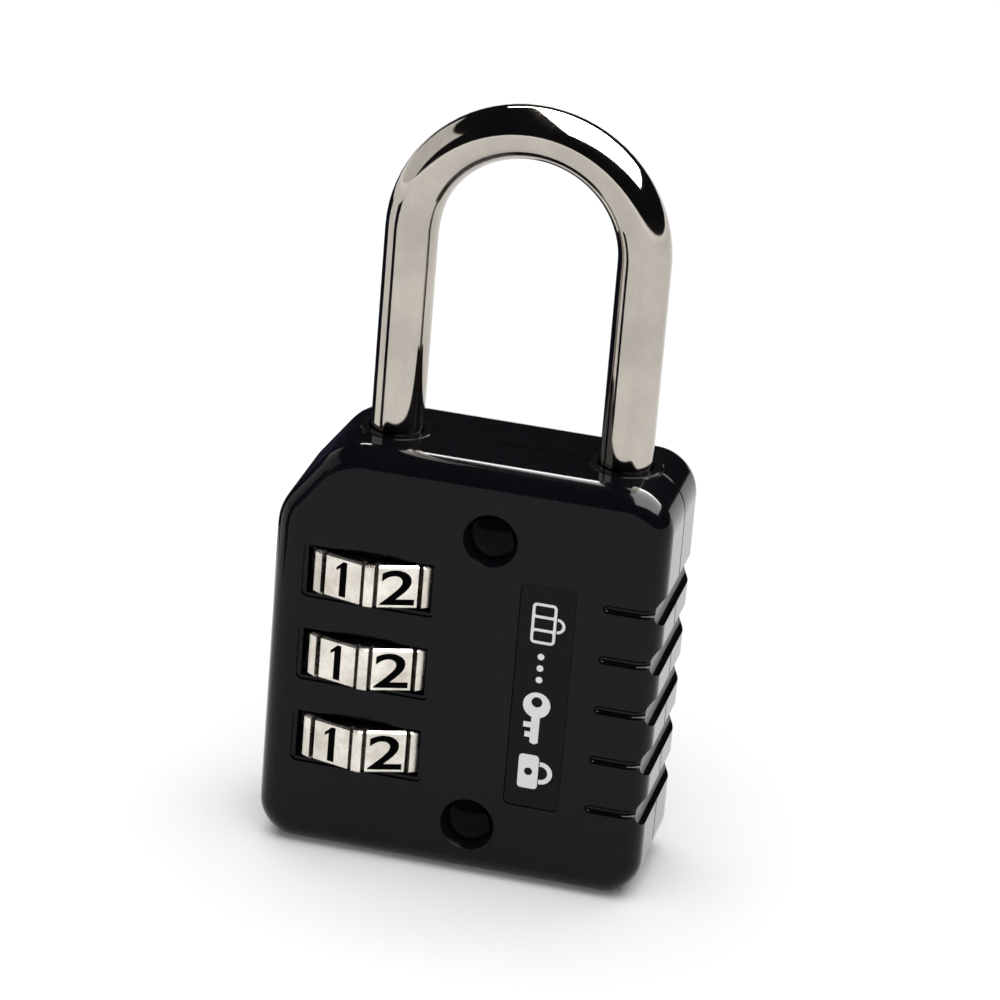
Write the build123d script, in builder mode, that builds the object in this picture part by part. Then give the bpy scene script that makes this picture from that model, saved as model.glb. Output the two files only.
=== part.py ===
"""Three-dial luggage padlock: die-cast case halves, steel shackle and combination mechanism.

Millimetres, +Z up. X runs across the case, the front is toward -Y and the origin is at the
middle of the base. The dials, cam sleeves and the long shackle leg share one vertical axis.
"""

import os
from math import cos, hypot, radians

from build123d import *

os.makedirs("parts", exist_ok=True)

# Case
CASE_WIDTH = 30.0
HALF_WIDTH = CASE_WIDTH / 2
CASE_HEIGHT = 33.2
CASE_DEPTH = 11.6
HALF_DEPTH = CASE_DEPTH / 2
SHOULDER_WIDTH = 4.4
SHOULDER_DROP = 5.9
SHOULDER_ROUND = 4.5
TOP_CORNER_ROUND = 3.4
BASE_CORNER_ROUND = 3.0
EDGE_ROUND = 1.8
SEAM_CHAMFER = 0.12
WALL = 1.4

# Shackle
BAR_RADIUS = 2.0
LONG_LEG_X = -7.4
SHORT_LEG_X = 10.2
SHACKLE_TOP = 59.85
BOW_RADIUS = (SHORT_LEG_X - LONG_LEG_X) / 2
BOW_CENTRE_X = (SHORT_LEG_X + LONG_LEG_X) / 2
BOW_CENTRE_Z = SHACKLE_TOP - BAR_RADIUS - BOW_RADIUS
LONG_LEG_END = 4.2
SHORT_LEG_END = 28.0
LEG_CLEARANCE = 0.06
LONG_LEG_CHAMFER = 0.2
SHORT_LEG_CHAMFER = 0.5
SHORT_BORE_SPARE = 0.4

# Dials and cam sleeves, one set at each height of DIAL_HEIGHTS
DIAL_PITCH = 6.85
BOTTOM_DIAL = 9.25
DIAL_NAMES = ("bottom", "middle", "top")
DIAL_HEIGHTS = {name: BOTTOM_DIAL + step * DIAL_PITCH for step, name in enumerate(DIAL_NAMES)}
DIGITS = 10
SHOWN_DIGIT = 2
SHOWN_DIGIT_ANGLE = 21.0
DIAL_THICKNESS = 3.5
DIAL_CHAMFER = 0.15
RIDGE_RADIUS = 7.12
RIDGE_WIDTH = 0.72
FACET_DISTANCE = 6.78
FACET_WIDTH = 3.02
DIAL_GROOVE = 0.3
DIAL_GROOVE_FLOOR = 6.35
DIAL_BORE = 4.5
NOTCH_RADIUS = 5.1
NOTCH_WIDTH = 1.0
KEY_WIDTH = 0.9
KEY_LENGTH = 1.0
KEY_RISE = 0.1
KEY_HEIGHT = 1.2
SLEEVE_RADIUS = 4.4
SLEEVE_HEIGHT = 4.6
SLEEVE_BORE = 2.1
SLOT_SPARE = 0.2
POCKET_RADIUS = 7.2
POCKET_HEIGHT = 3.9
WASHER_THICKNESS = 0.3
WASHER_BORE = 3.4
AXIAL_GAP = 0.025
JOURNAL_RADIUS = 4.5
JOURNAL_HALF_HEIGHT = SLEEVE_HEIGHT / 2 + WASHER_THICKNESS + 2 * AXIAL_GAP

# Locking teeth on the long leg
TOOTH_WIDTH = 1.2
TOOTH_HEIGHT = 1.3
TOOTH_REACH = 3.1
KEYWAY_FLOOR = 1.3
KEYWAY_CLEARANCE = 0.15
TOOTH_PASSAGE_RADIUS = 3.4
PASSAGE_FOOT = 4.8
PASSAGE_HEAD = DIAL_HEIGHTS["top"] + DIAL_PITCH / 2 + 1.0

# Lift spring inside the long leg
SPRING_SEAT = 1.4
PIN_FLANGE_HEIGHT = 0.5
PIN_FLANGE_RADIUS = 1.8
PIN_RADIUS = 0.5
PIN_TOP = 9.0
PIN_CHAMFER = 0.15
SPRING_BORE = 1.05
SPRING_BORE_TOP = 10.7
SPRING_RADIUS = 0.8
SPRING_WIRE = 0.15
SPRING_COILS = 9

# Windows and label on the outer faces
WINDOW_LEFT = -12.15
WINDOW_RIGHT = -2.5
WINDOW_DEPTH = 1.2
SURROUND_LEFT = -12.5
SURROUND_RIGHT = -2.1
SURROUND_HEIGHT = 4.5
SURROUND_DEPTH = 0.2
PANEL_ROUND = 0.5
LABEL_CENTRE = (6.4, 15.7)
LABEL_SIZE = (4.3, 18.4)
LABEL_RECESS = 0.35
LABEL_THICKNESS = 0.25
LABEL_CLEARANCE = 0.05

# Grip: a fine groove on each outer face runs into a wide scallop across the right side
GRIP_COUNT = 5
GRIP_PITCH = 4.135
GRIP_FOOT = 7.3
GRIP_HEIGHTS = [GRIP_FOOT + GRIP_PITCH * step for step in range(GRIP_COUNT)]
GROOVE_START = 10.9
GROOVE_RADIUS = 0.35
SCALLOP_HEIGHT = 2.3
SCALLOP_DEPTH = 0.65
SCALLOP_RADIUS = (SCALLOP_HEIGHT**2 / 4 + SCALLOP_DEPTH**2) / (2 * SCALLOP_DEPTH)

# Rivets
RIVET_X = 1.65
RIVET_HEIGHTS = (4.2, 27.7)
RIVET_SHANK = 1.1
RIVET_HEAD = 1.6
RIVET_HEAD_THICKNESS = 0.7
RIVET_SINK = 0.15
RIVET_DOME_RADIUS = 3.6
RIVET_RECESS = 2.1
RIVET_BORE_CLEARANCE = 0.05

# Cavity right of the dials, with the detent leaf along its left wall
CAVITY_LEFT = 0.3
CAVITY_RIGHT = HALF_WIDTH - WALL - 0.2
CAVITY_TOP = 25.6
CAVITY_ROUND = 0.5
BOSS_RADIUS = 2.4
DETENT_GATE_LEFT = -1.1
DETENT_GATE_WIDTH = 1.6
DETENT_GATE_SPARE = 0.4
LEAF_THICKNESS = 0.2
LEAF_WIDTH = 4.0
LEAF_BEND = 0.45
LEAF_FINGER = 1.7
LEAF_TIP = 0.25
LEAF_FOOT = DIAL_HEIGHTS["bottom"] - 2.6
LEAF_HEAD = DIAL_HEIGHTS["top"] + 2.1
LEAF_SCREW_Y = 1.2
LEAF_SCREW_HEIGHTS = [DIAL_HEIGHTS[name] + DIAL_PITCH / 2 for name in ("bottom", "middle")]
SCREW_RADIUS = 0.45
SCREW_LENGTH = 1.9
SCREW_HEAD = 0.85
SCREW_HEAD_THICKNESS = 0.4
SCREW_SLOT_WIDTH = 0.25
SCREW_SLOT_DEPTH = 0.2

# Locating dowels across the seam
LOWER_DOWEL = (11.0, 3.9)
UPPER_DOWEL = (6.3, 29.2)
DOWEL_SPOTS = (LOWER_DOWEL, UPPER_DOWEL)
DOWEL_BOSS_RADIUS = 1.7
DOWEL_RADIUS = 0.8
DOWEL_HALF_LENGTH = 2.0
DOWEL_SOCKET_SPARE = 0.2
DOWEL_CLEARANCE = 0.05
DOWEL_CHAMFER = 0.15

# Collars round the shackle legs
COLLAR_RADIUS = 2.85
COLLAR_DEPTH = 0.7
COLLAR_RISE = 0.06
COLLAR_CHAMFER = 0.12


def finish(part, name):
    """Label a finished part and write it as its own file."""
    part.label = name
    export_step(part, f"parts/{name}.step")


def cut_cylinder(x, radius, foot, head):
    """Subtract an upright cylinder standing on the mid plane of the case."""
    with BuildSketch(Plane.XY.offset(foot)) as bore:
        with Locations((x, 0)):
            Circle(radius)
    extrude(bore.sketch, amount=head - foot, mode=Mode.SUBTRACT)


def case_outline():
    """The case seen from the front: one sloping shoulder over the dials, five round corners."""
    shoulder_top = (-HALF_WIDTH + SHOULDER_WIDTH, CASE_HEIGHT)
    shoulder_foot = (-HALF_WIDTH, CASE_HEIGHT - SHOULDER_DROP)
    with BuildSketch(Plane.XZ) as outline:
        with BuildLine():
            Polyline(
                (-HALF_WIDTH, 0),
                (HALF_WIDTH, 0),
                (HALF_WIDTH, CASE_HEIGHT),
                shoulder_top,
                shoulder_foot,
                close=True,
            )
        make_face()
        fillet(outline.vertices().filter_by(lambda corner: corner.Y < 1), BASE_CORNER_ROUND)
        fillet(outline.vertices().sort_by_distance((HALF_WIDTH, CASE_HEIGHT))[0], TOP_CORNER_ROUND)
        for shoulder in (shoulder_top, shoulder_foot):
            fillet(outline.vertices().sort_by_distance(shoulder)[0], SHOULDER_ROUND)
    return outline.sketch


def cut_mechanism_bores():
    """Pockets and bores on the dial axis, and the blind bore of the short leg."""
    for height in DIAL_HEIGHTS.values():
        cut_cylinder(LONG_LEG_X, POCKET_RADIUS, height - POCKET_HEIGHT / 2, height + POCKET_HEIGHT / 2)
        cut_cylinder(LONG_LEG_X, JOURNAL_RADIUS, height - JOURNAL_HALF_HEIGHT, height + JOURNAL_HALF_HEIGHT)
    cut_cylinder(LONG_LEG_X, TOOTH_PASSAGE_RADIUS, PASSAGE_FOOT, PASSAGE_HEAD)
    cut_cylinder(LONG_LEG_X, SLEEVE_BORE, SPRING_SEAT, PASSAGE_FOOT)
    cut_cylinder(LONG_LEG_X, BAR_RADIUS + LEG_CLEARANCE, PASSAGE_HEAD, CASE_HEIGHT)
    cut_cylinder(SHORT_LEG_X, BAR_RADIUS + LEG_CLEARANCE, SHORT_LEG_END - SHORT_BORE_SPARE, CASE_HEIGHT)
    for leg_x in (LONG_LEG_X, SHORT_LEG_X):
        cut_cylinder(leg_x, COLLAR_RADIUS, CASE_HEIGHT - COLLAR_DEPTH, CASE_HEIGHT)


def cut_cavity(side):
    """Hollow right of the dials, leaving bosses for the lower rivet and the lower dowel."""
    width = CAVITY_RIGHT - CAVITY_LEFT
    depth = CAVITY_TOP - WALL
    with BuildSketch(Plane.XZ) as hollow:
        with Locations((CAVITY_LEFT + width / 2, WALL + depth / 2)):
            RectangleRounded(width, depth, CAVITY_ROUND)
        with Locations((RIVET_X, RIVET_HEIGHTS[0])):
            Circle(BOSS_RADIUS, mode=Mode.SUBTRACT)
        with Locations(LOWER_DOWEL):
            Circle(DOWEL_BOSS_RADIUS, mode=Mode.SUBTRACT)
    extrude(hollow.sketch, amount=-side * (HALF_DEPTH - WALL), mode=Mode.SUBTRACT)
    for height in DIAL_HEIGHTS.values():
        with Locations((DETENT_GATE_LEFT + DETENT_GATE_WIDTH / 2, 0, height)):
            Box(DETENT_GATE_WIDTH, LEAF_WIDTH + DETENT_GATE_SPARE, POCKET_HEIGHT, mode=Mode.SUBTRACT)


def cut_windows(side):
    """Dial windows with a shallow surround, through the outer face."""
    face = Plane.XZ.offset(-side * HALF_DEPTH)
    for height in DIAL_HEIGHTS.values():
        with BuildSketch(face) as window:
            with Locations(((WINDOW_LEFT + WINDOW_RIGHT) / 2, height)):
                Rectangle(WINDOW_RIGHT - WINDOW_LEFT, POCKET_HEIGHT)
        extrude(window.sketch, amount=side * WINDOW_DEPTH, mode=Mode.SUBTRACT)
        with BuildSketch(face) as surround:
            with Locations(((SURROUND_LEFT + SURROUND_RIGHT) / 2, height)):
                RectangleRounded(SURROUND_RIGHT - SURROUND_LEFT, SURROUND_HEIGHT, PANEL_ROUND)
        extrude(surround.sketch, amount=side * SURROUND_DEPTH, mode=Mode.SUBTRACT)


def cut_grip(side):
    """Fine round-bottomed grooves on the outer face, and the scallops on the right side."""
    face_y = side * HALF_DEPTH
    turn_x = HALF_WIDTH - EDGE_ROUND
    turn_y = side * (HALF_DEPTH - EDGE_ROUND)
    arc_offset = EDGE_ROUND * (1 - cos(radians(45)))
    arc_middle = (HALF_WIDTH - arc_offset, side * (HALF_DEPTH - arc_offset))
    for height in GRIP_HEIGHTS:
        with BuildLine(Plane.XY.offset(height)) as route:
            Line((GROOVE_START, face_y), (turn_x, face_y))
            ThreePointArc((turn_x, face_y), arc_middle, (HALF_WIDTH, turn_y))
        groove_plane = Plane((GROOVE_START, face_y, height), x_dir=(0, 1, 0), z_dir=(1, 0, 0))
        with BuildSketch(groove_plane) as profile:
            Circle(GROOVE_RADIUS)
        sweep(profile.sketch, path=route.line, mode=Mode.SUBTRACT)
        with Locations((GROOVE_START, face_y, height)):
            Sphere(GROOVE_RADIUS, mode=Mode.SUBTRACT)
    with BuildSketch(Plane.XZ) as scallops:
        with Locations([(HALF_WIDTH + SCALLOP_RADIUS - SCALLOP_DEPTH, height) for height in GRIP_HEIGHTS]):
            Circle(SCALLOP_RADIUS)
    extrude(scallops.sketch, amount=-side * HALF_DEPTH, mode=Mode.SUBTRACT)


def cut_rivet_holes(side):
    """Rivet bores with a tapered recess in the outer face."""
    spots = [(RIVET_X, height) for height in RIVET_HEIGHTS]
    depth = RIVET_HEAD_THICKNESS + RIVET_SINK
    with BuildSketch(Plane.XZ) as bores:
        with Locations(spots):
            Circle(RIVET_SHANK + RIVET_BORE_CLEARANCE)
    extrude(bores.sketch, amount=-side * HALF_DEPTH, mode=Mode.SUBTRACT)
    for spot in spots:
        with BuildSketch(Plane.XZ.offset(-side * HALF_DEPTH)) as mouth:
            with Locations(spot):
                Circle(RIVET_RECESS)
        with BuildSketch(Plane.XZ.offset(-side * (HALF_DEPTH - depth))) as floor:
            with Locations(spot):
                Circle(RIVET_HEAD + RIVET_BORE_CLEARANCE)
        loft([mouth.sketch, floor.sketch], mode=Mode.SUBTRACT)


def cut_dowel_sockets(side, radius):
    """Blind sockets of the locating dowels, from the seam."""
    with BuildSketch(Plane.XZ) as sockets:
        with Locations(DOWEL_SPOTS):
            Circle(radius)
    extrude(sockets.sketch, amount=-side * (DOWEL_HALF_LENGTH + DOWEL_SOCKET_SPARE), mode=Mode.SUBTRACT)


def case_half(side):
    """One die-cast half without its own fittings; side is -1 for the front, +1 for the rear."""
    with BuildPart() as half:
        extrude(case_outline(), amount=-side * HALF_DEPTH)
        faces = half.faces().sort_by(Axis.Y)
        outer_face = faces[0] if side < 0 else faces[-1]
        seam_face = faces[-1] if side < 0 else faces[0]
        fillet(outer_face.edges(), EDGE_ROUND)
        chamfer(seam_face.edges(), SEAM_CHAMFER)
        cut_cavity(side)
        cut_mechanism_bores()
        cut_windows(side)
        cut_grip(side)
        cut_rivet_holes(side)
    return half


# Case front: half shell with the label recess and loose dowel sockets
front_blank = case_half(-1)
with BuildPart() as case_front:
    add(front_blank.part)
    with BuildSketch(Plane.XZ.offset(HALF_DEPTH)):
        with Locations(LABEL_CENTRE):
            RectangleRounded(*LABEL_SIZE, PANEL_ROUND)
    extrude(amount=-LABEL_RECESS, mode=Mode.SUBTRACT)
    cut_dowel_sockets(-1, DOWEL_RADIUS + DOWEL_CLEARANCE)
finish(case_front.part, "case_front")

# Case rear: half shell with tight dowel sockets and the threaded holes of the detent leaf
rear_blank = case_half(1)
with BuildPart() as case_rear:
    add(rear_blank.part)
    cut_dowel_sockets(1, DOWEL_RADIUS)
    with BuildSketch(Plane.YZ.offset(CAVITY_LEFT)):
        with Locations([(LEAF_SCREW_Y, height) for height in LEAF_SCREW_HEIGHTS]):
            Circle(SCREW_RADIUS)
    extrude(amount=-SCREW_LENGTH, mode=Mode.SUBTRACT)
finish(case_rear.part, "case_rear")

# Steel dowels that line up the two halves
with BuildPart() as locating_dowels:
    with BuildSketch(Plane.XZ.offset(-DOWEL_HALF_LENGTH)):
        with Locations(DOWEL_SPOTS):
            Circle(DOWEL_RADIUS)
    extrude(amount=2 * DOWEL_HALF_LENGTH)
    chamfer(locating_dowels.edges().filter_by(GeomType.CIRCLE), DOWEL_CHAMFER)
finish(locating_dowels.part, "locating_dowels")

# Label plate in its recess
with BuildPart() as label_plate:
    with BuildSketch(Plane.XZ.offset(HALF_DEPTH - LABEL_RECESS)):
        with Locations(LABEL_CENTRE):
            plate_width, plate_height = (size - 2 * LABEL_CLEARANCE for size in LABEL_SIZE)
            RectangleRounded(plate_width, plate_height, PANEL_ROUND - LABEL_CLEARANCE)
    extrude(amount=LABEL_THICKNESS)
finish(label_plate.part, "label_plate")

def rivet_head(spot, side):
    """One rivet head with a domed outer face."""
    crown = HALF_DEPTH - RIVET_SINK
    with BuildPart() as head:
        with BuildSketch(Plane.XZ.offset(-side * crown)) as disc:
            with Locations(spot):
                Circle(RIVET_HEAD)
        extrude(disc.sketch, amount=side * RIVET_HEAD_THICKNESS)
        with Locations((spot[0], side * (crown - RIVET_DOME_RADIUS), spot[1])):
            Sphere(RIVET_DOME_RADIUS, mode=Mode.INTERSECT)
    return head.part


# Rivets: shank through both halves, a domed head in each face
with BuildPart() as case_rivets:
    spots = [(RIVET_X, height) for height in RIVET_HEIGHTS]
    head_inner = HALF_DEPTH - RIVET_SINK - RIVET_HEAD_THICKNESS
    with BuildSketch(Plane.XZ.offset(-head_inner)):
        with Locations(spots):
            Circle(RIVET_SHANK)
    extrude(amount=2 * head_inner)
    for side in (-1, 1):
        for spot in spots:
            add(rivet_head(spot, side))
finish(case_rivets.part, "case_rivets")

# Collars that close the gap round each leg
for name, leg_x in (("long_leg_collar", LONG_LEG_X), ("short_leg_collar", SHORT_LEG_X)):
    with BuildPart() as collar:
        with BuildSketch(Plane.XY.offset(CASE_HEIGHT - COLLAR_DEPTH)):
            with Locations((leg_x, 0)):
                Circle(COLLAR_RADIUS)
                Circle(BAR_RADIUS + LEG_CLEARANCE, mode=Mode.SUBTRACT)
        extrude(amount=COLLAR_DEPTH + COLLAR_RISE)
        chamfer(collar.edges().group_by(Axis.Z)[-1], COLLAR_CHAMFER)
    finish(collar.part, name)

# Shackle: bent bar, spring bore in the long leg and a keyway for the toothed plate
keyway_foot = DIAL_HEIGHTS["bottom"] - DIAL_PITCH / 2 - TOOTH_HEIGHT / 2
keyway_head = DIAL_HEIGHTS["top"] - DIAL_PITCH / 2 + TOOTH_HEIGHT / 2
with BuildPart() as shackle:
    with BuildLine(Plane.XZ) as bar_line:
        Line((LONG_LEG_X, LONG_LEG_END), (LONG_LEG_X, BOW_CENTRE_Z))
        ThreePointArc(
            (LONG_LEG_X, BOW_CENTRE_Z),
            (BOW_CENTRE_X, BOW_CENTRE_Z + BOW_RADIUS),
            (SHORT_LEG_X, BOW_CENTRE_Z),
        )
        Line((SHORT_LEG_X, BOW_CENTRE_Z), (SHORT_LEG_X, SHORT_LEG_END))
    with BuildSketch(Plane.XY.offset(LONG_LEG_END)):
        with Locations((LONG_LEG_X, 0)):
            Circle(BAR_RADIUS)
    sweep(path=bar_line.line)
    short_end = shackle.faces().filter_by(Axis.Z).sort_by(Axis.Z)[-1]
    long_end = shackle.faces().filter_by(Axis.Z).sort_by(Axis.Z)[0]
    chamfer(short_end.edges(), SHORT_LEG_CHAMFER)
    chamfer(long_end.edges(), LONG_LEG_CHAMFER)
    cut_cylinder(LONG_LEG_X, SPRING_BORE, LONG_LEG_END, SPRING_BORE_TOP)
    keyway_depth = BAR_RADIUS - KEYWAY_FLOOR
    with Locations((LONG_LEG_X, KEYWAY_FLOOR + keyway_depth / 2, (keyway_foot + keyway_head) / 2)):
        Box(TOOTH_WIDTH, keyway_depth, keyway_head - keyway_foot, mode=Mode.SUBTRACT)
finish(shackle.part, "shackle")

# Toothed plate pressed into the keyway; each tooth stands below one sleeve
with BuildPart() as lug_plate:
    plate_top = (BAR_RADIUS**2 - (TOOTH_WIDTH / 2) ** 2) ** 0.5
    with BuildSketch(Plane.YZ.offset(LONG_LEG_X - TOOTH_WIDTH / 2)):
        with Locations(((KEYWAY_FLOOR + plate_top) / 2, (keyway_foot + keyway_head) / 2)):
            Rectangle(plate_top - KEYWAY_FLOOR, keyway_head - keyway_foot)
        for height in DIAL_HEIGHTS.values():
            with Locations(((KEYWAY_FLOOR + TOOTH_REACH) / 2, height - DIAL_PITCH / 2)):
                Rectangle(TOOTH_REACH - KEYWAY_FLOOR, TOOTH_HEIGHT)
    extrude(amount=TOOTH_WIDTH)
finish(lug_plate.part, "lug_plate")

# Lift spring and the flanged pin that guides it
with BuildPart() as spring_guide_pin:
    with BuildSketch(Plane.XY.offset(SPRING_SEAT)):
        with Locations((LONG_LEG_X, 0)):
            Circle(PIN_FLANGE_RADIUS)
    extrude(amount=PIN_FLANGE_HEIGHT)
    with BuildSketch(Plane.XY.offset(SPRING_SEAT + PIN_FLANGE_HEIGHT)):
        with Locations((LONG_LEG_X, 0)):
            Circle(PIN_RADIUS)
    extrude(amount=PIN_TOP - SPRING_SEAT - PIN_FLANGE_HEIGHT)
    chamfer(spring_guide_pin.edges().group_by(Axis.Z)[-1], PIN_CHAMFER)
finish(spring_guide_pin.part, "spring_guide_pin")

spring_foot = SPRING_SEAT + PIN_FLANGE_HEIGHT + SPRING_WIRE + AXIAL_GAP
spring_head = SPRING_BORE_TOP - SPRING_WIRE - AXIAL_GAP
with BuildPart() as shackle_spring:
    with BuildLine(Plane((LONG_LEG_X, 0, spring_foot))) as coil:
        Helix(
            pitch=(spring_head - spring_foot) / SPRING_COILS,
            height=spring_head - spring_foot,
            radius=SPRING_RADIUS,
        )
    with BuildSketch(Plane(origin=coil.line @ 0, z_dir=coil.line % 0)):
        Circle(SPRING_WIRE)
    sweep(path=coil.line, is_frenet=True)
finish(shackle_spring.part, "shackle_spring")


def facet_angle(digit):
    """Angle about +Z from +X of the facet that carries a digit; halves give the ridges."""
    return -90 + SHOWN_DIGIT_ANGLE + (digit - SHOWN_DIGIT) * 360 / DIGITS


def axis_distance(point):
    """How far a point is from the common axis of the dials and the long leg."""
    return hypot(point.X - LONG_LEG_X, point.Y)


# One dial at each height: a flat facet for every digit, a ridge midway between two digits
facet_spare = RIDGE_RADIUS - FACET_DISTANCE + DIAL_GROOVE
groove_length = RIDGE_RADIUS - DIAL_GROOVE_FLOOR + DIAL_GROOVE
groove_offset = (RIDGE_WIDTH + DIAL_GROOVE) / 2
notch_foot = DIAL_BORE - DIAL_GROOVE
for name, height in DIAL_HEIGHTS.items():
    with BuildPart() as dial:
        with BuildSketch(Plane((LONG_LEG_X, 0, height - DIAL_THICKNESS / 2))):
            Circle(RIDGE_RADIUS)
            Circle(DIAL_BORE, mode=Mode.SUBTRACT)
            with PolarLocations(FACET_DISTANCE + facet_spare / 2, DIGITS, facet_angle(0)):
                Rectangle(facet_spare, FACET_WIDTH + DIAL_GROOVE, mode=Mode.SUBTRACT)
            with PolarLocations(0, DIGITS, facet_angle(0.5)):
                groove_middle = DIAL_GROOVE_FLOOR + groove_length / 2
                with Locations((groove_middle, groove_offset), (groove_middle, -groove_offset)):
                    Rectangle(groove_length, DIAL_GROOVE, mode=Mode.SUBTRACT)
            with PolarLocations((notch_foot + NOTCH_RADIUS) / 2, DIGITS, facet_angle(0)):
                Rectangle(NOTCH_RADIUS - notch_foot, NOTCH_WIDTH, mode=Mode.SUBTRACT)
        extrude(amount=DIAL_THICKNESS)
        rims = dial.edges().filter_by(lambda edge: axis_distance(edge.center()) > FACET_DISTANCE - AXIAL_GAP)
        chamfer(rims.group_by(Axis.Z)[0] + rims.group_by(Axis.Z)[-1], DIAL_CHAMFER)
    finish(dial.part, f"dial_{name}")

# One cam sleeve inside each dial, slotted for the tooth and keyed to a notch of the dial
for name, height in DIAL_HEIGHTS.items():
    with BuildPart() as cam_sleeve:
        with BuildSketch(Plane((LONG_LEG_X, 0, height - SLEEVE_HEIGHT / 2))):
            Circle(SLEEVE_RADIUS)
            Circle(SLEEVE_BORE, mode=Mode.SUBTRACT)
            slot_reach = TOOTH_REACH + SLOT_SPARE
            with Locations((0, slot_reach / 2)):
                Rectangle(TOOTH_WIDTH + 2 * KEYWAY_CLEARANCE, slot_reach, mode=Mode.SUBTRACT)
        extrude(amount=SLEEVE_HEIGHT)
        with BuildSketch(Plane((LONG_LEG_X, 0, height - KEY_HEIGHT / 2))):
            with PolarLocations(SLEEVE_RADIUS + KEY_RISE, 1, facet_angle(SHOWN_DIGIT)):
                Rectangle(KEY_LENGTH, KEY_WIDTH)
        extrude(amount=KEY_HEIGHT)
    finish(cam_sleeve.part, f"cam_sleeve_{name}")

# Thrust washers above and below each sleeve
with BuildPart() as thrust_washers:
    for height in DIAL_HEIGHTS.values():
        for foot in (
            height + SLEEVE_HEIGHT / 2 + AXIAL_GAP,
            height - SLEEVE_HEIGHT / 2 - AXIAL_GAP - WASHER_THICKNESS,
        ):
            with BuildSketch(Plane((LONG_LEG_X, 0, foot))):
                Circle(SLEEVE_RADIUS)
                Circle(WASHER_BORE, mode=Mode.SUBTRACT)
            extrude(amount=WASHER_THICKNESS)
finish(thrust_washers.part, "thrust_washers")

# Detent leaf: one strip with a bent finger toward each dial
with BuildPart() as detent_leaf:
    with BuildSketch(Plane.XZ.offset(-LEAF_WIDTH / 2)):
        with BuildLine():
            corners = [(CAVITY_LEFT, LEAF_FOOT)]
            for height in DIAL_HEIGHTS.values():
                corners += [
                    (CAVITY_LEFT, height - LEAF_FINGER),
                    (CAVITY_LEFT - LEAF_BEND, height - LEAF_TIP),
                    (CAVITY_LEFT - LEAF_BEND, height + LEAF_TIP),
                    (CAVITY_LEFT, height + LEAF_FINGER),
                ]
            corners += [(CAVITY_LEFT, LEAF_HEAD)]
            outer = [(x + LEAF_THICKNESS, z) for x, z in reversed(corners)]
            Polyline(*corners, *outer, close=True)
        make_face()
    extrude(amount=LEAF_WIDTH)
    with BuildSketch(Plane.YZ.offset(CAVITY_LEFT)):
        with Locations([(LEAF_SCREW_Y, height) for height in LEAF_SCREW_HEIGHTS]):
            Circle(SCREW_RADIUS)
    extrude(amount=LEAF_THICKNESS, mode=Mode.SUBTRACT)
finish(detent_leaf.part, "detent_leaf")

# Slotted screws that hold the leaf on the rear half
with BuildPart() as leaf_screws:
    leaf_face = CAVITY_LEFT + LEAF_THICKNESS
    screw_spots = [(LEAF_SCREW_Y, height) for height in LEAF_SCREW_HEIGHTS]
    with BuildSketch(Plane.YZ.offset(CAVITY_LEFT - SCREW_LENGTH)):
        with Locations(screw_spots):
            Circle(SCREW_RADIUS)
    extrude(amount=SCREW_LENGTH + LEAF_THICKNESS)
    with BuildSketch(Plane.YZ.offset(leaf_face)):
        with Locations(screw_spots):
            Circle(SCREW_HEAD)
    extrude(amount=SCREW_HEAD_THICKNESS)
    with BuildSketch(Plane.YZ.offset(leaf_face + SCREW_HEAD_THICKNESS)):
        with Locations(screw_spots):
            Rectangle(2 * SCREW_HEAD, SCREW_SLOT_WIDTH)
    extrude(amount=-SCREW_SLOT_DEPTH, mode=Mode.SUBTRACT)
finish(leaf_screws.part, "leaf_screws")
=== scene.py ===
"""Looks of the luggage combination padlock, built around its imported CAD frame."""

from math import cos, pi, radians, sin

import bmesh
import bpy
from mathutils import Matrix, Vector


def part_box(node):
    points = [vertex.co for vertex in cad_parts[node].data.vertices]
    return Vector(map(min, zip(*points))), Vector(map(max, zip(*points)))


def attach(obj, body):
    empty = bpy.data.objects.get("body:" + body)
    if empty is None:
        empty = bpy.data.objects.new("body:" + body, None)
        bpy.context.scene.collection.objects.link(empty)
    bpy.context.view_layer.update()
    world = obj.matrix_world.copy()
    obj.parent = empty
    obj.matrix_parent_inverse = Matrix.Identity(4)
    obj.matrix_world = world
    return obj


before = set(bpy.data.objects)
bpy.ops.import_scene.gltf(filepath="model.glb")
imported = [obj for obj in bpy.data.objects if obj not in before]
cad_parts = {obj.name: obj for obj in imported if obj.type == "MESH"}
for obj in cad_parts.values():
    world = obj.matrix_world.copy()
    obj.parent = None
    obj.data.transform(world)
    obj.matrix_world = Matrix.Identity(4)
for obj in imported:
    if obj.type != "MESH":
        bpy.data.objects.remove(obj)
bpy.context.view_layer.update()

# Lengths in metres
MM = 0.001
MICRON = 0.000001

# Camera: direction from the object, tilt, distance and lens that give the reference view
CAMERA_AZIMUTH = radians(11.8)
CAMERA_ELEVATION = radians(23.2)
CAMERA_ROLL = radians(4.8)
CAMERA_DISTANCE = 0.379
CAMERA_LENS = 182.0
AIM = Vector((0.9, 0, 28.6)) * MM

# Nearest and farthest distance that the camera shows
CLIP_NEAR = 0.01
CLIP_FAR = 20.0

# White paper: half its side, its drop below the object and the distances from the object
# at which its glow begins and is full
PAPER_HALF = 4.0
PAPER_DROP = 0.1 * MM
GLOW_START = 0.45
GLOW_FULL = 1.6

# Dark cards that only reflections see: two upright ones and one that lies behind
FLAG_LEFT = -60 * MM
FLAG_TOP = 42 * MM
FLAG_SPANS = ((-38 * MM, -20 * MM), (14 * MM, 130 * MM))
LYING_RIGHT = -14 * MM
LYING_NEAR = 34 * MM
LYING_FAR = 150 * MM
LYING_LIFT = 1 * MM

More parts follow.
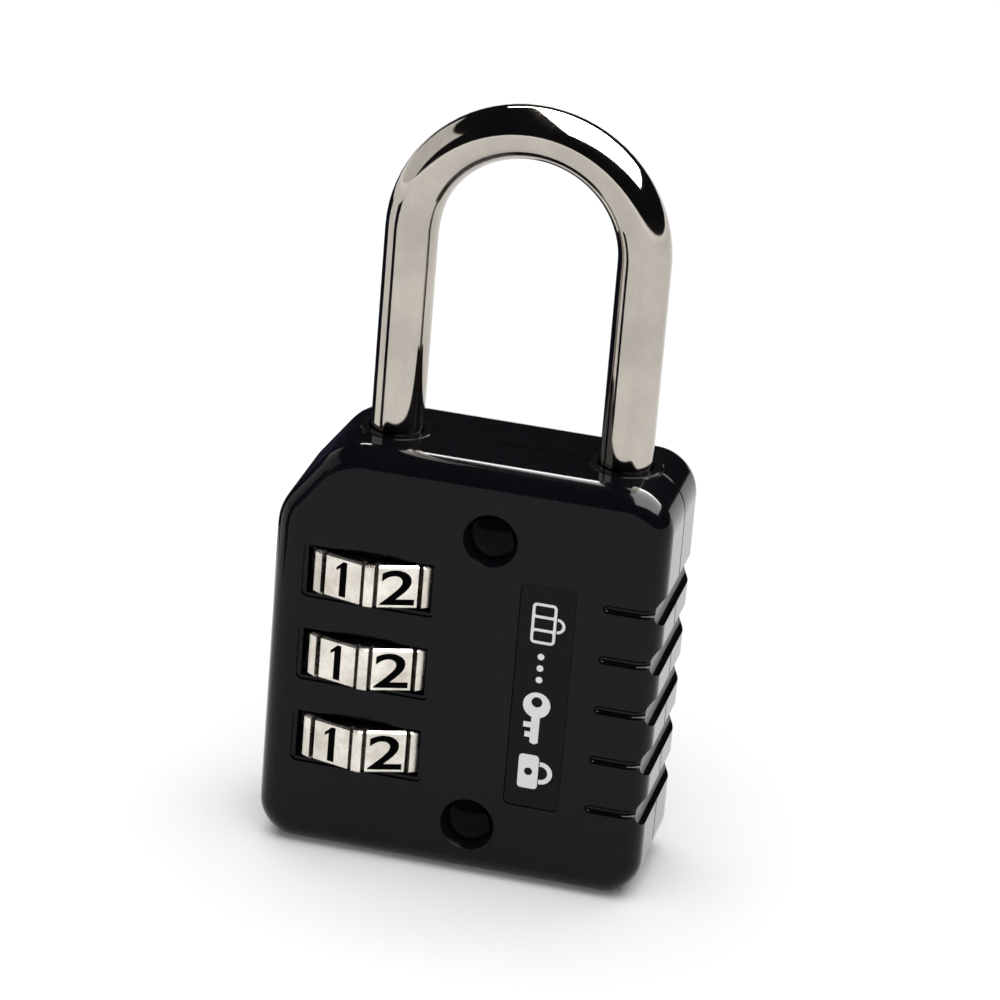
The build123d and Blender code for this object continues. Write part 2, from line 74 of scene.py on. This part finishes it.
# Case: roughness of the sides and the outer faces, and the depths below the outer face
# between which one becomes the other
SIDE_ROUGHNESS = 0.09
FACE_ROUGHNESS = 0.4
FACE_BAND_START = 0.1 * MM
FACE_BAND_END = 0.01 * MM

# Dials: radii between which the painted shade in the grooves fades out, and the round on the edges
GROOVE_SHADE_RADIUS = 6.55 * MM
UNSHADED_RADIUS = 6.72 * MM
DIAL_EDGE_ROUND = 0.07 * MM
EDGE_SEGMENTS = 3
EDGE_ANGLE = radians(35)

# Digits on the dial facets; the shown digit's angle about the dial's axis counts from +X,
# and the weight is the offset that thickens a digit's strokes
DIALS = ("top", "middle", "bottom")
DIGITS = 10
SHOWN_DIGIT = 2
SHOWN_DIGIT_ANGLE = radians(-69)
FACET_DISTANCE = 6.78 * MM
DIGIT_SIZE = (2.6 * MM, 2.84 * MM)
DIGIT_WEIGHT = 0.012
CURVE_STEPS = 5
ONE_WIDTH = 0.56 * MM
PAINT_THICKNESS = 0.03 * MM

# Printed mark on the label plate, in millimetres
MARK_LENGTH = 15.4
MARK_THICKNESS = 0.02
DOT_PITCH = 0.95
DOT_RADIUS = 0.26
CORNER_STEPS = 6
ARCH_STEPS = 16

# Tones in linear red, green and blue; a pair is the two ends of a mottled tone
CASE_TONES = ((0.0022, 0.0021, 0.0032), (0.0036, 0.0035, 0.005))
SCRATCH_TONE = (0.02, 0.02, 0.021)
DIAL_TONES = ((0.58, 0.535, 0.47), (0.85, 0.81, 0.745))
PIT_TONE = (0.42, 0.38, 0.33)
# Painted shade: the dark tone that colours the dials' grooves
GROOVE_SHADE_TONE = (0.045, 0.04, 0.036)
SHACKLE_TONES = ((0.41, 0.38, 0.34), (0.505, 0.465, 0.41))
STREAK_TONE = (0.40, 0.372, 0.335)

# The span in which most values of a noise lie
NOISE_SPAN = (0.3, 0.7)


def add_camera():
    """Camera on the front right, above the object, tilted so that the object leans right."""
    data = bpy.data.cameras.new("camera")
    data.lens = CAMERA_LENS
    data.clip_start = CLIP_NEAR
    data.clip_end = CLIP_FAR
    camera = bpy.data.objects.new("camera", data)
    bpy.context.scene.collection.objects.link(camera)
    back = Vector((
        sin(CAMERA_AZIMUTH) * cos(CAMERA_ELEVATION),
        -cos(CAMERA_AZIMUTH) * cos(CAMERA_ELEVATION),
        sin(CAMERA_ELEVATION),
    ))
    turn = back.to_track_quat("Z", "Y") @ Matrix.Rotation(CAMERA_ROLL, 4, "Z").to_quaternion()
    camera.matrix_world = Matrix.LocRotScale(AIM + back * CAMERA_DISTANCE, turn, None)
    bpy.context.scene.camera = camera


def add_area(name, place, target, size, power, glossy=True, diffuse=True, spin=0.0):
    """A rectangular lamp that faces a point, spun by some degrees about its own axis."""
    data = bpy.data.lights.new(name, "AREA")
    data.shape = "RECTANGLE"
    data.size = size[0]
    data.size_y = size[1]
    data.energy = power
    lamp = bpy.data.objects.new(name, data)
    bpy.context.scene.collection.objects.link(lamp)
    place = Vector(place)
    turn = (place - Vector(target)).to_track_quat("Z", "Y")
    turn = turn @ Matrix.Rotation(radians(spin), 4, "Z").to_quaternion()
    lamp.matrix_world = Matrix.LocRotScale(place, turn, None)
    lamp.visible_glossy = glossy
    lamp.visible_diffuse = diffuse
    lamp.visible_camera = False


def add_world():
    """White surroundings for the camera, nearly black ones for reflections and for light."""
    world = bpy.data.worlds.new("studio")
    bpy.context.scene.world = world
    world.use_nodes = True
    tree = world.node_tree
    seen = tree.nodes["Background"]
    seen.inputs["Color"].default_value = (1, 1, 1, 1)
    reflected = tree.nodes.new("ShaderNodeBackground")
    reflected.inputs["Color"].default_value = (0.009, 0.009, 0.01, 1)
    path = tree.nodes.new("ShaderNodeLightPath")
    mix = tree.nodes.new("ShaderNodeMixShader")
    tree.links.new(path.outputs["Is Camera Ray"], mix.inputs["Fac"])
    tree.links.new(reflected.outputs["Background"], mix.inputs[1])
    tree.links.new(seen.outputs["Background"], mix.inputs[2])
    tree.links.new(mix.outputs["Shader"], tree.nodes["World Output"].inputs["Surface"])


def add_lights():
    """Two even fills for the paper and the matt parts; three lights seen only in reflections."""
    add_area(
        "fill_above",
        place=(0, 0, 1.2), target=(0, 0, 0), size=(1.8, 1.8), power=26.5, glossy=False,
    )
    add_area(
        "fill_front",
        place=(0.1, -1.1, 0.5), target=(0, 0, 0.02), size=(1.2, 0.6), power=6, glossy=False,
    )
    add_area(
        "softbox_right",
        place=(0.74, 0.34, 1.0), target=(0.74, 0.34, 0), size=(1.7, 2.1), power=160, diffuse=False, spin=13,
    )
    add_area(
        "strip_behind",
        place=(0.18, 0.62, 0.52), target=(0.18, 0, 0.03), size=(1.0, 0.07), power=5, diffuse=False,
    )
    add_area(
        "card_left",
        place=(-0.85, 0.1, 0.3), target=(0, 0.1, 0.05), size=(1.5, 0.55), power=2.2, diffuse=False,
    )


class Nodes:
    """Short way to build a node tree around one Principled shader."""

    def __init__(self, name):
        self.material = bpy.data.materials.new(name)
        self.material.use_nodes = True
        self.tree = self.material.node_tree
        self.tree.nodes.clear()
        self.shader = self.add("ShaderNodeBsdfPrincipled")
        output = self.add("ShaderNodeOutputMaterial")
        self.link(self.shader, "BSDF", output, "Surface")

    def add(self, kind, **values):
        node = self.tree.nodes.new(kind)
        for key, value in values.items():
            if hasattr(node, key):
                setattr(node, key, value)
            else:
                node.inputs[key.replace("_", " ")].default_value = value
        return node

    def link(self, source, output, target, socket):
        self.tree.links.new(source.outputs[output], target.inputs[socket])

    def set(self, **values):
        for key, value in values.items():
            self.shader.inputs[key.replace("_", " ")].default_value = value

    def place(self):
        """The shaded point's X, Y and Z in object coordinates."""
        coordinates = self.add("ShaderNodeTexCoord")
        split = self.add("ShaderNodeSeparateXYZ")
        self.link(coordinates, "Object", split, "Vector")
        return split

    def noise(self, scale, detail=2.0, roughness=0.5, stretch=(1, 1, 1), turn=(0, 0, 0)):
        """Noise in object coordinates, with scale in features per metre, stretched and turned."""
        coordinates = self.add("ShaderNodeTexCoord")
        mapping = self.add("ShaderNodeMapping")
        mapping.inputs["Rotation"].default_value = turn
        mapping.inputs["Scale"].default_value = stretch
        texture = self.add("ShaderNodeTexNoise", Scale=scale, Detail=detail, Roughness=roughness)
        self.link(coordinates, "Object", mapping, "Vector")
        self.link(mapping, "Vector", texture, "Vector")
        return texture

    def ranged(self, source, output, span, low, high):
        """Map a value from a span to low..high."""
        node = self.add("ShaderNodeMapRange")
        node.inputs["From Min"].default_value = span[0]
        node.inputs["From Max"].default_value = span[1]
        node.inputs["To Min"].default_value = low
        node.inputs["To Max"].default_value = high
        self.link(source, output, node, "Value")
        return node

    def math(self, operation, first, second=None):
        """Math node on two sources, each a (node, output) pair or a number."""
        node = self.add("ShaderNodeMath", operation=operation)
        for socket, source in enumerate((first, second)):
            if isinstance(source, tuple):
                self.tree.links.new(source[0].outputs[source[1]], node.inputs[socket])
            elif source is not None:
                node.inputs[socket].default_value = source
        return node

    def blend(self, factor, output, first, second):
        """Mix two colors by a factor; each color is a tuple or the node of an earlier mix."""
        node = self.add("ShaderNodeMixRGB")
        for socket, color in (("Color1", first), ("Color2", second)):
            if isinstance(color, tuple):
                node.inputs[socket].default_value = (*color, 1)
            else:
                self.link(color, "Color", node, socket)
        self.link(factor, output, node, "Fac")
        return node

    def scratches(self, scale, angle, threshold):
        """Sparse fine lines at one angle in the XZ plane, as a mask; the threshold thins them out."""
        texture = self.noise(scale, detail=1.0, stretch=(1, 1, 0.03), turn=(0, angle, 0))
        return self.ranged(texture, "Fac", (0.5 + threshold, 0.5 + 3 * threshold), 0.0, 1.0)

    def bump(self, source, output, distance, before=None):
        """Bump of a given depth in metres, stacked on an earlier bump if there is one."""
        node = self.add("ShaderNodeBump", Distance=distance)
        self.link(source, output, node, "Height")
        if before:
            self.link(before, "Normal", node, "Normal")
        self.link(node, "Normal", self.shader, "Normal")
        return node


def case_material():
    """Black coating on the castings: satin outer faces, glossy sides and edges, faint scratches."""
    nodes = Nodes("case_black_coating")
    nodes.set(Metallic=0.0, IOR=1.12, Coat_Weight=1.0, Coat_IOR=1.2, Coat_Roughness=0.1)
    half_depth = -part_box("case_front")[0].y
    peel = nodes.noise(1500, 2)
    grain = nodes.noise(9000, 2)
    smudge = nodes.noise(110, 4, 0.6)
    depth = nodes.math("ABSOLUTE", (nodes.place(), "Y"))
    face_band = (half_depth - FACE_BAND_START, half_depth - FACE_BAND_END)
    outer_face = nodes.ranged(depth, "Value", face_band, 0.0, 1.0)
    satin = nodes.ranged(outer_face, "Result", (0, 1), SIDE_ROUGHNESS, FACE_ROUGHNESS)
    uneven = nodes.ranged(smudge, "Fac", NOISE_SPAN, 0.85, 1.2)
    rough = nodes.math("MULTIPLY", (satin, "Result"), (uneven, "Result"))
    nodes.link(rough, "Value", nodes.shader, "Roughness")
    tone = nodes.blend(smudge, "Fac", *CASE_TONES)
    marks = nodes.scratches(2600, radians(38), 0.09)
    faint = nodes.math("MULTIPLY", (marks, "Result"), 0.06)
    tone = nodes.blend(faint, "Value", tone, SCRATCH_TONE)
    nodes.link(tone, "Color", nodes.shader, "Base Color")
    first = nodes.bump(peel, "Fac", 4 * MICRON)
    nodes.bump(grain, "Fac", 2.5 * MICRON, first)
    return nodes.material


def metal_material(name, color, rough, depth, grain_scale=2500, stretch=(1, 1, 1)):
    """Bare metal with a fine grain of some depth; rough is the range of its uneven gloss."""
    nodes = Nodes(name)
    nodes.set(Metallic=1.0)
    grain = nodes.noise(grain_scale, 3, 0.6, stretch)
    haze = nodes.noise(240, 4, 0.65)
    gloss = nodes.ranged(haze, "Fac", NOISE_SPAN, *rough)
    nodes.link(gloss, "Result", nodes.shader, "Roughness")
    tone = nodes.blend(haze, "Fac", tuple(0.94 * channel for channel in color), color)
    nodes.link(tone, "Color", nodes.shader, "Base Color")
    nodes.bump(grain, "Fac", depth)
    return nodes.material


def dial_material():
    """Nickel plate with turning marks and small pits, and painted shade darkening the grooves."""
    nodes = Nodes("dial_nickel")
    nodes.set(Metallic=1.0)
    low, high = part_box("dial_top")
    axis_x = (low.x + high.x) / 2
    place = nodes.place()
    offset = nodes.math("SUBTRACT", (place, "X"), axis_x)
    across = nodes.math("POWER", (offset, "Value"), 2.0)
    along = nodes.math("POWER", (place, "Y"), 2.0)
    square = nodes.math("ADD", (across, "Value"), (along, "Value"))
    radius = nodes.math("SQRT", (square, "Value"))
    # Painted shade: colour is darkened inside a radius about the dial's axis, where the grooves lie
    groove_shade = nodes.ranged(radius, "Value", (GROOVE_SHADE_RADIUS, UNSHADED_RADIUS), 1.0, 0.0)
    lines = nodes.noise(5200, 3, 0.6, (0.15, 0.15, 1))
    haze = nodes.noise(420, 4, 0.65)
    specks = nodes.noise(2600, 2, 0.5)
    dull = nodes.ranged(haze, "Fac", NOISE_SPAN, 0.2, 0.34)
    nodes.link(dull, "Result", nodes.shader, "Roughness")
    patchy = nodes.ranged(haze, "Fac", (0.36, 0.62), 0.0, 1.0)
    tone = nodes.blend(patchy, "Result", *DIAL_TONES)
    pits = nodes.ranged(specks, "Fac", (0.66, 0.74), 0.0, 0.35)
    tone = nodes.blend(pits, "Result", tone, PIT_TONE)
    # Painted shade mixed into the colour of the grooves
    tone = nodes.blend(groove_shade, "Result", tone, GROOVE_SHADE_TONE)
    nodes.link(tone, "Color", nodes.shader, "Base Color")
    first = nodes.bump(lines, "Fac", 3 * MICRON)
    nodes.bump(specks, "Fac", 5 * MICRON, first)
    return nodes.material


def shackle_material():
    """Polished warm plating with fine drawing lines and streaks, uneven gloss and a few nicks."""
    nodes = Nodes("shackle_chrome")
    nodes.set(Metallic=1.0)
    lines = nodes.noise(2400, 3, 0.6, (1, 1, 0.05))
    haze = nodes.noise(170, 4, 0.6)
    nicks = nodes.noise(1300, 1, 0.4)
    gloss = nodes.ranged(haze, "Fac", NOISE_SPAN, 0.035, 0.1)
    nodes.link(gloss, "Result", nodes.shader, "Roughness")
    patchy = nodes.ranged(haze, "Fac", (0.36, 0.64), 0.0, 1.0)
    tone = nodes.blend(patchy, "Result", *SHACKLE_TONES)
    streaks = nodes.noise(1100, 2, 0.5, (1, 1, 0.06))
    drawn = nodes.ranged(streaks, "Fac", (0.5, 0.66), 0.0, 0.4)
    tone = nodes.blend(drawn, "Result", tone, STREAK_TONE)
    nodes.link(tone, "Color", nodes.shader, "Base Color")
    first = nodes.bump(lines, "Fac", 1.2 * MICRON)
    dents = nodes.ranged(nicks, "Fac", (0.74, 0.84), 0.0, 1.0)
    nodes.bump(dents, "Result", 1.5 * MICRON, first)
    return nodes.material


def coated_material(name, color, rough, ior):
    """Paint or plastic with a slightly mottled tone, faint grain and uneven gloss."""
    nodes = Nodes(name)
    nodes.set(Metallic=0.0, IOR=ior)
    smudge = nodes.noise(500, 4, 0.6)
    grain = nodes.noise(7000, 2)
    gloss = nodes.ranged(smudge, "Fac", NOISE_SPAN, 0.85 * rough, 1.2 * rough)
    nodes.link(gloss, "Result", nodes.shader, "Roughness")
    tone = nodes.blend(smudge, "Fac", tuple(0.88 * channel for channel in color), color)
    nodes.link(tone, "Color", nodes.shader, "Base Color")
    nodes.bump(grain, "Fac", 3 * MICRON)
    return nodes.material


def floor_material():
    """White paper that glows toward the distance, so that it stays even where the lamps fade."""
    nodes = Nodes("floor_paper")
    nodes.set(Metallic=0.0, Roughness=0.9, Specular_IOR_Level=0.0)
    nodes.set(Base_Color=(0.88, 0.88, 0.88, 1), Emission_Color=(1, 1, 1, 1))
    coordinates = nodes.add("ShaderNodeTexCoord")
    distance = nodes.add("ShaderNodeVectorMath", operation="LENGTH")
    nodes.link(coordinates, "Object", distance, "Vector")
    glow = nodes.ranged(distance, "Value", (GLOW_START, GLOW_FULL), 0.0, 1.0)
    nodes.link(glow, "Result", nodes.shader, "Emission Strength")
    return nodes.material


def add_floor():
    """Plain white paper under the object."""
    mesh = bpy.data.meshes.new("floor")
    corners = [
        (-PAPER_HALF, -PAPER_HALF, 0),
        (PAPER_HALF, -PAPER_HALF, 0),
        (PAPER_HALF, PAPER_HALF, 0),
        (-PAPER_HALF, PAPER_HALF, 0),
    ]
    mesh.from_pydata(corners, [], [range(4)])
    floor = bpy.data.objects.new("floor", mesh)
    bpy.context.scene.collection.objects.link(floor)
    floor.location.z = -PAPER_DROP
    mesh.materials.append(floor_material())


def add_flags():
    """Dark cards on the left: upright ones edge the shackle legs, the lying one the case's slope."""
    cards = [
        [
            (FLAG_LEFT, front, 0),
            (FLAG_LEFT, back, 0),
            (FLAG_LEFT, back, FLAG_TOP),
            (FLAG_LEFT, front, FLAG_TOP),
        ]
        for front, back in FLAG_SPANS
    ]
    cards.append([
        (FLAG_LEFT, LYING_NEAR, LYING_LIFT),
        (LYING_RIGHT, LYING_NEAR, LYING_LIFT),
        (LYING_RIGHT, LYING_FAR, LYING_LIFT),
        (FLAG_LEFT, LYING_FAR, LYING_LIFT),
    ])
    corners = [corner for card in cards for corner in card]
    faces = [range(first, first + 4) for first in range(0, len(corners), 4)]
    mesh = bpy.data.meshes.new("flags")
    mesh.from_pydata(corners, [], faces)
    flags = bpy.data.objects.new("flags", mesh)
    bpy.context.scene.collection.objects.link(flags)
    nodes = Nodes("flag_black")
    nodes.set(Metallic=0.0, Roughness=0.9, Specular_IOR_Level=0.0)
    nodes.set(Base_Color=(0.012, 0.01, 0.02, 1))
    mesh.materials.append(nodes.material)
    flags.visible_camera = False
    flags.visible_diffuse = False
    flags.visible_shadow = False
    flags.visible_transmission = False


def new_piece(name, mesh, material, body):
    """Link a finished mesh as one piece that rides on a body."""
    piece = bpy.data.objects.new(name, mesh)
    bpy.context.scene.collection.objects.link(piece)
    mesh.materials.clear()
    mesh.materials.append(material)
    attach(piece, body)


def curve_mesh(name, outlines, thickness):
    """Closed flat outlines in XY, nested ones as holes, made into a thin solid sheet."""
    curve = bpy.data.curves.new(name, "CURVE")
    curve.dimensions = "2D"
    curve.fill_mode = "BOTH"
    curve.extrude = thickness / 2
    for points in outlines:
        spline = curve.splines.new("POLY")
        spline.points.add(len(points) - 1)
        for target, (x, y) in zip(spline.points, points):
            target.co = (x, y, 0, 1)
        spline.use_cyclic_u = True
    return solid_mesh(name, curve)


def solid_mesh(name, curve):
    """Turn an extruded curve or text into one closed mesh."""
    holder = bpy.data.objects.new(name, curve)
    bpy.context.scene.collection.objects.link(holder)
    bpy.context.view_layer.update()
    evaluated = holder.evaluated_get(bpy.context.evaluated_depsgraph_get())
    mesh = bpy.data.meshes.new_from_object(evaluated)
    bpy.data.objects.remove(holder)
    bpy.data.curves.remove(curve)
    mesh.name = name
    shape = bmesh.new()
    shape.from_mesh(mesh)
    bmesh.ops.remove_doubles(shape, verts=shape.verts, dist=1e-7)
    bmesh.ops.recalc_face_normals(shape, faces=shape.faces)
    shape.to_mesh(mesh)
    shape.free()
    return mesh


def circle(x, y, radius, start=0.0, end=2 * pi, steps=32):
    """Points on a circle; a full one leaves out the repeated last point."""
    last = steps if end - start < 2 * pi else steps - 1
    angles = [start + (end - start) * k / steps for k in range(last + 1)]
    return [(x + radius * cos(angle), y + radius * sin(angle)) for angle in angles]


def rounded_box(x0, y0, x1, y1, radius):
    """Rectangle with round corners."""
    left, right = x0 + radius, x1 - radius
    bottom, top = y0 + radius, y1 - radius
    corners = ((right, top), (left, top), (left, bottom), (right, bottom))
    points = []
    for quarter, (x, y) in enumerate(corners):
        points += circle(x, y, radius, quarter * pi / 2, (quarter + 1) * pi / 2, CORNER_STEPS)
    return points


def arch(x, foot, outer, inner, rise):
    """Upright arch of two radii on straight legs that rise from the foot, such as a handle."""
    return [
        (x + outer, foot),
        *circle(x, foot + rise, outer, 0, pi, ARCH_STEPS),
        (x - outer, foot),
        (x - inner, foot),
        *circle(x, foot + rise, inner, 0, pi, ARCH_STEPS)[::-1],
        (x + inner, foot),
    ]


def one_outline():
    """A plain 1: an upright stroke with a short slanting flag at its upper left."""
    half, top = ONE_WIDTH / 2, DIGIT_SIZE[1] / 2
    flag_tip, flag_upper, flag_lower = -2.2 * half, 0.62 * top, 0.42 * top
    return [
        (half, -top),
        (half, top),
        (-0.2 * half, top),
        (flag_tip, flag_upper),
        (flag_tip, flag_lower),
        (-half, flag_upper),
        (-half, -top),
    ]


def digit_mesh(digit):
    """Thin sheet in the shape of one digit, centred in XY and scaled to the dial's digits."""
    if digit == 1:
        return curve_mesh("digit", [one_outline()], PAINT_THICKNESS)
    text = bpy.data.curves.new("digit", "FONT")
    text.body = str(digit)
    text.offset = DIGIT_WEIGHT
    text.extrude = 0.5
    text.resolution_u = CURVE_STEPS
    mesh = solid_mesh("digit", text)
    low = [min(vertex.co[axis] for vertex in mesh.vertices) for axis in range(3)]
    high = [max(vertex.co[axis] for vertex in mesh.vertices) for axis in range(3)]
    size = (*DIGIT_SIZE, PAINT_THICKNESS)
    for vertex in mesh.vertices:
        vertex.co = [
            (vertex.co[axis] - (low[axis] + high[axis]) / 2) * size[axis] / (high[axis] - low[axis])
            for axis in range(3)
        ]
    return mesh


def add_digits(dial):
    """Black digits 0 to 9 in the facets of one dial, upright and facing outward."""
    low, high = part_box(f"dial_{dial}")
    centre = (low + high) / 2
    ring = bmesh.new()
    for digit in range(DIGITS):
        angle = SHOWN_DIGIT_ANGLE + (digit - SHOWN_DIGIT) * 2 * pi / DIGITS
        outward = Vector((cos(angle), sin(angle), 0))
        right = Vector((-sin(angle), cos(angle), 0))
        up = Vector((0, 0, 1))
        place = Matrix((right, up, outward)).transposed().to_4x4()
        place.translation = centre + outward * FACET_DISTANCE
        mesh = digit_mesh(digit)
        mesh.transform(place)
        ring.from_mesh(mesh)
        bpy.data.meshes.remove(mesh)
    mesh = bpy.data.meshes.new(f"dial_{dial}_digits")
    ring.to_mesh(mesh)
    ring.free()
    new_piece(f"dial_{dial}_digits", mesh, digit_paint, f"dial_{dial}")


def add_label_mark():
    """Generic printed symbols down the label: suitcase, three dots, key and padlock.

    The outlines are in millimetres, x along the label from its upper end and y across it.
    """
    suitcase = [
        rounded_box(0.0, -1.15, 3.3, 0.75, 0.35),
        rounded_box(0.22, -0.93, 1.0, 0.53, 0.15),
        rounded_box(1.22, -0.93, 2.08, 0.53, 0.05),
        rounded_box(2.3, -0.93, 3.08, 0.53, 0.15),
        arch(1.65, 0.82, 0.62, 0.4, 0.0),
    ]
    middle = -0.2
    dots = [circle(4.35 + DOT_PITCH * step, middle, DOT_RADIUS, steps=20) for step in range(3)]
    key = [
        [
            *circle(8.35, middle, 1.05, radians(18), radians(342), 36),
            (9.8, -0.52), (9.8, -1.1), (10.25, -1.1), (10.25, -0.52),
            (10.6, -0.52), (10.6, -0.95), (11.05, -0.95), (11.05, -0.52),
            (11.45, -0.52), (11.6, middle), (11.45, 0.12),
        ],
        circle(8.1, middle, 0.42, steps=24),
    ]
    padlock = [
        rounded_box(12.5, -1.2, 15.3, 0.35, 0.3),
        circle(13.9, -0.42, 0.32, steps=20),
        arch(13.9, 0.42, 0.92, 0.55, 0.1),
    ]
    mesh = curve_mesh("label_mark", suitcase + dots + key + padlock, MARK_THICKNESS)
    low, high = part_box("label_plate")
    centre = (low + high) / 2
    down, across, outward = Vector((0, 0, -1)), Vector((1, 0, 0)), Vector((0, -1, 0))
    place = Matrix((down, across, outward)).transposed().to_4x4() @ Matrix.Scale(MM, 4)
    place.translation = Vector((centre.x, low.y, centre.z)) - down * MARK_LENGTH / 2 * MM
    mesh.transform(place)
    new_piece("label_mark", mesh, white, "case")


def paint_node(node, material):
    """Give a node one material in place of what it came with."""
    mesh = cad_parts[node].data
    mesh.materials.clear()
    mesh.materials.append(material)


def soften_edges(node, width):
    """Fine round on the sharp edges of a node, for the highlights that real edges catch."""
    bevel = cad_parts[node].modifiers.new("edge_round", "BEVEL")
    bevel.width = width
    bevel.segments = EDGE_SEGMENTS
    bevel.limit_method = "ANGLE"
    bevel.angle_limit = EDGE_ANGLE


bpy.context.scene.view_settings.view_transform = "Standard"
add_camera()
add_world()
add_lights()
add_floor()
add_flags()

case = case_material()
chrome = shackle_material()
nickel = dial_material()
steel = metal_material("zinc_steel", (0.6, 0.6, 0.61), (0.25, 0.4), depth=4 * MICRON)
spring_steel = metal_material("spring_steel", (0.42, 0.43, 0.45), (0.22, 0.35), depth=3 * MICRON)
brass = metal_material(
    "turned_brass", (0.78, 0.6, 0.3), (0.2, 0.32), depth=4 * MICRON, grain_scale=3000, stretch=(1, 1, 6),
)
white = coated_material("white_enamel", (0.68, 0.68, 0.69), rough=0.4, ior=1.2)
digit_paint = coated_material("digit_black", (0.001, 0.001, 0.0012), rough=0.45, ior=1.06)
gloss_black = coated_material("gloss_black", (0.0015, 0.0015, 0.002), rough=0.16, ior=1.13)
label_black = coated_material("label_black", (0.0035, 0.0035, 0.004), rough=0.3, ior=1.2)

NODE_MATERIALS = {
    "case_front": case,
    "case_rear": case,
    "label_plate": label_black,
    "case_rivets": gloss_black,
    "locating_dowels": steel,
    "long_leg_collar": gloss_black,
    "short_leg_collar": gloss_black,
    "shackle": chrome,
    "lug_plate": steel,
    "spring_guide_pin": steel,
    "shackle_spring": spring_steel,
    "detent_leaf": spring_steel,
    "leaf_screws": steel,
    "thrust_washers": steel,
    **{f"dial_{dial}": nickel for dial in DIALS},
    **{f"cam_sleeve_{dial}": brass for dial in DIALS},
}
for node, material in NODE_MATERIALS.items():
    paint_node(node, material)

for dial in DIALS:
    soften_edges(f"dial_{dial}", DIAL_EDGE_ROUND)
    add_digits(dial)
add_label_mark()
